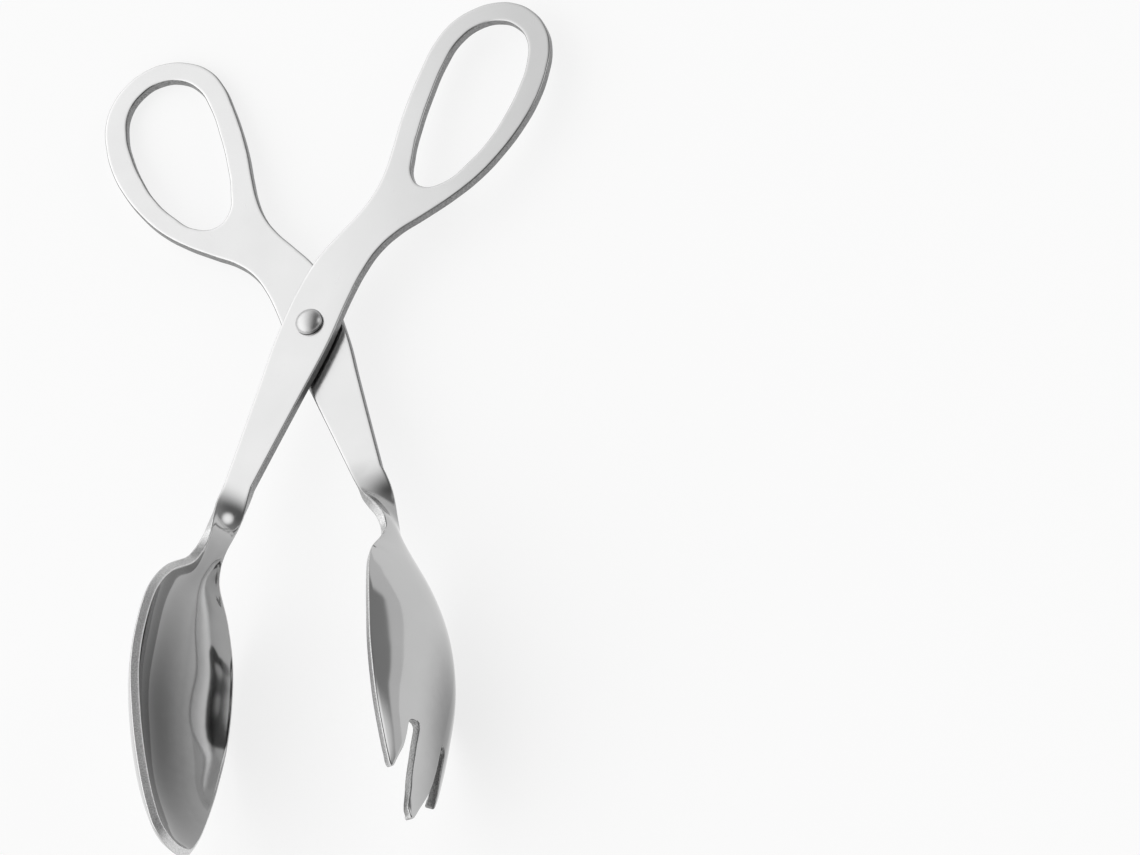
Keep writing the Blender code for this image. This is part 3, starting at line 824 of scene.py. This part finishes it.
def drawFork(bm, row):
    # Rows near the slots bend round their arcs, so that the rounding of the
    # cut edge has even faces beside it.
    shares, offMiddle, runs = forkColumns()
    radius = 0.5 * fork["slotWidth"]
    for along in rowsAlong(0.0, fork["slotRoot"], fork["rows"]):
        half = float(halfWidth(fork, along))
        aside = besideRims(-half, half, shares)
        before = fork["slotRoot"] - along
        bite = np.sqrt(np.maximum((radius + before) ** 2 - offMiddle ** 2, 0.0)) - before
        share = smoothStep(1.0 - before / fork["slotFrom"])
        row = drawOut(bm, row, pressed(fork, along - share * np.maximum(bite, 0.0), aside))
    for tine, (start, finish), count in zip((-1, 0, 1), runs, fork["tineRows"]):
        drawTine(bm, row[start:finish], tine, count)


def newPiece(name, bm, materials):
    # An object at the world's origin, from a bmesh that is then freed.
    mesh = bpy.data.meshes.new(name)
    bm.to_mesh(mesh)
    bm.free()
    piece = bpy.data.objects.new(name, mesh)
    bpy.context.scene.collection.objects.link(piece)
    for material in materials:
        mesh.materials.append(material)
    return piece


def finishedArm(name, bm, level, turn, materials):
    # Gives the pressed surface its thickness and tumbled edges, and lays it in.
    bmesh.ops.recalc_face_normals(bm, faces=bm.faces)
    flat = [face for face in bm.faces if face.calc_center_median().y > 0.0]
    if sum(face.normal.z * face.calc_area() for face in flat) < 0.0:
        bmesh.ops.reverse_faces(bm, faces=bm.faces)
    place = (restingPlace @ Matrix.Translation((0.0, 0.0, level))
             @ Matrix.Rotation(turn, 4, "Z"))
    bm.transform(place)
    arm = newPiece(name, bm, materials)
    arm.data.shade_smooth()
    wall = arm.modifiers.new("sheet", "SOLIDIFY")
    wall.thickness = sheet["thickness"]
    wall.offset = -1.0
    wall.use_even_offset = True
    wall.use_quality_normals = True
    wall.material_offset_rim = 1
    wall.material_offset = 2
    tumbled = arm.modifiers.new("tumbledEdge", "BEVEL")
    tumbled.limit_method = "ANGLE"
    tumbled.angle_limit = sheet["sharpEdge"]
    tumbled.width = sheet["edgeRounding"]
    tumbled.segments = sheet["roundingSteps"]
    tumbled.profile = 0.5
    tumbled.use_clamp_overlap = False
    tumbled.loop_slide = False
    even = arm.modifiers.new("evenShading", "WEIGHTED_NORMAL")
    even.keep_sharp = True
    return arm


rivet = {
    "shank": 0.0044,
    "headWidth": 0.0074,
    "headHeight": 0.0023,
    "tailWidth": 0.0068,
    "tailHeight": 0.0011,
    "lip": 0.0003,
    "domeSteps": 18,
    "turnSteps": 72,
}


def domeProfile(width, height, base, direction):
    # From the top of a dome to the foot of the lip under it.
    angles = np.linspace(0.0, 0.5 * math.pi, rivet["domeSteps"] + 1)
    rise = height - rivet["lip"]
    return [(0.5 * width * math.sin(angle),
             base + direction * (rivet["lip"] + rise * math.cos(angle)))
            for angle in angles]


def pivotRivet(material):
    gap = sheet["washer"] + 2.0 * sheet["clearance"]
    seat = sheet["clearance"]
    back = -2.0 * sheet["thickness"] - gap - sheet["clearance"]
    shank = 0.5 * rivet["shank"]
    profile = domeProfile(rivet["headWidth"], rivet["headHeight"], seat, 1.0)
    profile += [(0.5 * rivet["headWidth"], seat), (shank, seat), (shank, back),
                (0.5 * rivet["tailWidth"], back)]
    profile += domeProfile(rivet["tailWidth"], rivet["tailHeight"], back, -1.0)[::-1]
    bm = bmesh.new()
    verts = [bm.verts.new((radius, 0.0, height)) for radius, height in profile]
    edges = [bm.edges.new(pair) for pair in zip(verts, verts[1:])]
    bmesh.ops.spin(bm, geom=verts + edges, cent=(0.0, 0.0, 0.0), axis=(0.0, 0.0, 1.0),
                   angle=2.0 * math.pi, steps=rivet["turnSteps"], use_merge=True)
    bmesh.ops.remove_doubles(bm, verts=bm.verts, dist=sheet["join"])
    bmesh.ops.recalc_face_normals(bm, faces=bm.faces)
    bm.transform(restingPlace)
    piece = newPiece("pivotRivet", bm, [material])
    piece.data.shade_smooth()
    piece.data.set_sharp_from_angle(angle=sheet["sharpEdge"])
    return piece


studio = {
    "white": "#ffffff",
    "floorSize": 6.0,
    "floorCells": 4,
    "floorColour": "#f8f8f8",
    "floorRoughness": 0.9,
    "floorGloss": 0.1,
    "paperShare": 0.78,          # how far the floor's own white hides its shading
    "bright": 1.85,              # the window side, towards -X
    "dark": 0.14,                # the room's unlit side, towards +X, high up
    "darkLow": 0.30,             # and near the horizon
    "brightTo": -0.75,           # X of a direction where the window side starts to fade
    "darkFrom": 0.42,
    "lowTo": 0.15,               # Z of a direction where the low level ends
    "highFrom": 0.75,
    "foot": 0.76,                # pale foot of the backdrop, all round
    "footTo": 0.095,
    "footEnd": 0.125,
    "lamp": 1.22,                # a far soft lamp on the dark side
    "lampTowards": (0.842, 0.302, 0.447),
    "lampInner": 1.000,
    "lampOuter": 0.919,
}


def whitePaper(name):
    # A sheet of mat paper. What the camera and the steel see of it is partly
    # its own white, so that it stays pale and still takes a shadow.
    material, tree, shader = newMaterial(name)
    shader.inputs["Base Color"].default_value = linear(studio["floorColour"])
    shader.inputs["Roughness"].default_value = studio["floorRoughness"]
    shader.inputs["Specular IOR Level"].default_value = studio["floorGloss"]
    ray = addNode(tree, "ShaderNodeLightPath")
    seen = addNode(tree, "ShaderNodeMath", {"operation": "ADD"},
                   {0: ray.outputs["Is Camera Ray"], 1: ray.outputs["Is Glossy Ray"]})
    seen = addNode(tree, "ShaderNodeMath", {"operation": "ADD", "use_clamp": True},
                   {0: seen.outputs["Value"], 1: ray.outputs["Is Transmission Ray"]})
    share = addNode(tree, "ShaderNodeMath",
                    {"operation": "MULTIPLY", 1: studio["paperShare"]},
                    {0: seen.outputs["Value"]})
    white = addNode(tree, "ShaderNodeEmission",
                    {"Color": linear(studio["white"]), "Strength": 1.0})
    paper = addNode(tree, "ShaderNodeMixShader", None,
                    {0: share.outputs["Value"], 1: shader.outputs["BSDF"],
                     2: white.outputs["Emission"]})
    surface = tree.nodes["Material Output"].inputs["Surface"]
    tree.links.new(paper.outputs["Shader"], surface)
    return material


def addFloor():
    bm = bmesh.new()
    bmesh.ops.create_grid(bm, x_segments=studio["floorCells"],
                          y_segments=studio["floorCells"], size=0.5 * studio["floorSize"])
    floor = newPiece("studioFloor", bm, [whitePaper("matPaper")])


def addSky():
    # A room seen only as light: a wide window side, an unlit side with one soft
    # lamp in it, and the pale foot of a backdrop all round.
    world = bpy.data.worlds.new("studioSky")
    bpy.context.scene.world = world
    world.use_nodes = True
    tree = world.node_tree
    sky = tree.nodes["Background"]
    direction = addNode(tree, "ShaderNodeTexCoord").outputs["Generated"]
    apart = addNode(tree, "ShaderNodeSeparateXYZ", None, {"Vector": direction})
    side = addNode(tree, "ShaderNodeMapRange",
                   {"interpolation_type": "SMOOTHSTEP", "From Min": studio["brightTo"],
                    "From Max": studio["darkFrom"]},
                   {"Value": apart.outputs["X"]})
    unlit = addNode(tree, "ShaderNodeMapRange",
                    {"interpolation_type": "SMOOTHSTEP", "From Min": studio["lowTo"],
                     "From Max": studio["highFrom"], "To Min": studio["darkLow"],
                     "To Max": studio["dark"]},
                    {"Value": apart.outputs["Z"]})
    room = addNode(tree, "ShaderNodeMix", {"data_type": "FLOAT", 2: studio["bright"]},
                   {0: side.outputs["Result"], 3: unlit.outputs["Result"]})
    facing = addNode(tree, "ShaderNodeVectorMath",
                     {"operation": "DOT_PRODUCT", 1: studio["lampTowards"]}, {0: direction})
    lamp = addNode(tree, "ShaderNodeMapRange",
                   {"interpolation_type": "SMOOTHSTEP", "From Min": studio["lampOuter"],
                    "From Max": studio["lampInner"], "To Max": studio["lamp"]},
                   {"Value": facing.outputs["Value"]})
    lit = addNode(tree, "ShaderNodeMath", {"operation": "ADD"},
                  {0: room.outputs[0], 1: lamp.outputs["Result"]})
    foot = addNode(tree, "ShaderNodeMapRange",
                   {"interpolation_type": "SMOOTHSTEP", "From Min": studio["footEnd"],
                    "From Max": studio["footTo"]},
                   {"Value": apart.outputs["Z"]})
    level = addNode(tree, "ShaderNodeMix", {"data_type": "FLOAT", 3: studio["foot"]},
                    {0: foot.outputs["Result"], 2: lit.outputs["Value"]})
    sky.inputs["Color"].default_value = linear(studio["white"])
    tree.links.new(level.outputs[0], sky.inputs["Strength"])


bpy.context.scene.view_settings.view_transform = "Standard"
addCamera()
addFloor()
addSky()
print("camera and studio set")

spoonSteel = [
    stainlessSheet("satinStainlessSpoonArm", sheet["halfOpening"], spoon["bowl"]),
    shearedEdge("shearedStainlessSpoonEdge", "spoonRim"),
    stainlessSheet("satinStainlessSpoonBack", sheet["halfOpening"], spoon["back"]),
]
forkSteel = [
    stainlessSheet("satinStainlessForkArm", -sheet["halfOpening"], fork["bulge"]),
    shearedEdge("shearedStainlessForkEdge", "forkRim", cutEdge["slots"]),
    stainlessSheet("satinStainlessForkInside", -sheet["halfOpening"], fork["inside"]),
]
rivetSteel = headedRivet("headedStainlessRivet")
washerSteel = shearedEdge("blankedStainlessWasher", "forkRim")
print("finishes made")

spoonShares = endShares(np.linspace(-1.0, 1.0, spoon["columns"] - 1))
blank, edgeRow = flatBlank("spoonBlank", 1.0, spoonShares)
drawSpoon(blank, edgeRow)
spoonArm = finishedArm("spoonArm", blank, 0.0, -sheet["halfOpening"], spoonSteel)
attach(spoonArm, "spoon_side")
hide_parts("spoon_arm")
print("spoon arm pressed")

forkShares = endShares(forkColumns()[0])
blank, edgeRow = flatBlank("forkBlank", -1.0, forkShares)
drawFork(blank, edgeRow)
lower = -sheet["thickness"] - sheet["washer"] - 2.0 * sheet["clearance"]
forkArm = finishedArm("forkArm", blank, lower, sheet["halfOpening"], forkSteel)
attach(forkArm, "fork_side")
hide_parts("fork_arm")
print("fork arm pressed")

rivetPiece = pivotRivet(rivetSteel)
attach(rivetPiece, "spoon_side")
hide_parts("pivot_rivet")
washer = frame["nodes"]["pivot_washer"]
washer.data.materials.clear()
washer.data.materials.append(washerSteel)
print("rivet headed and washer finished")
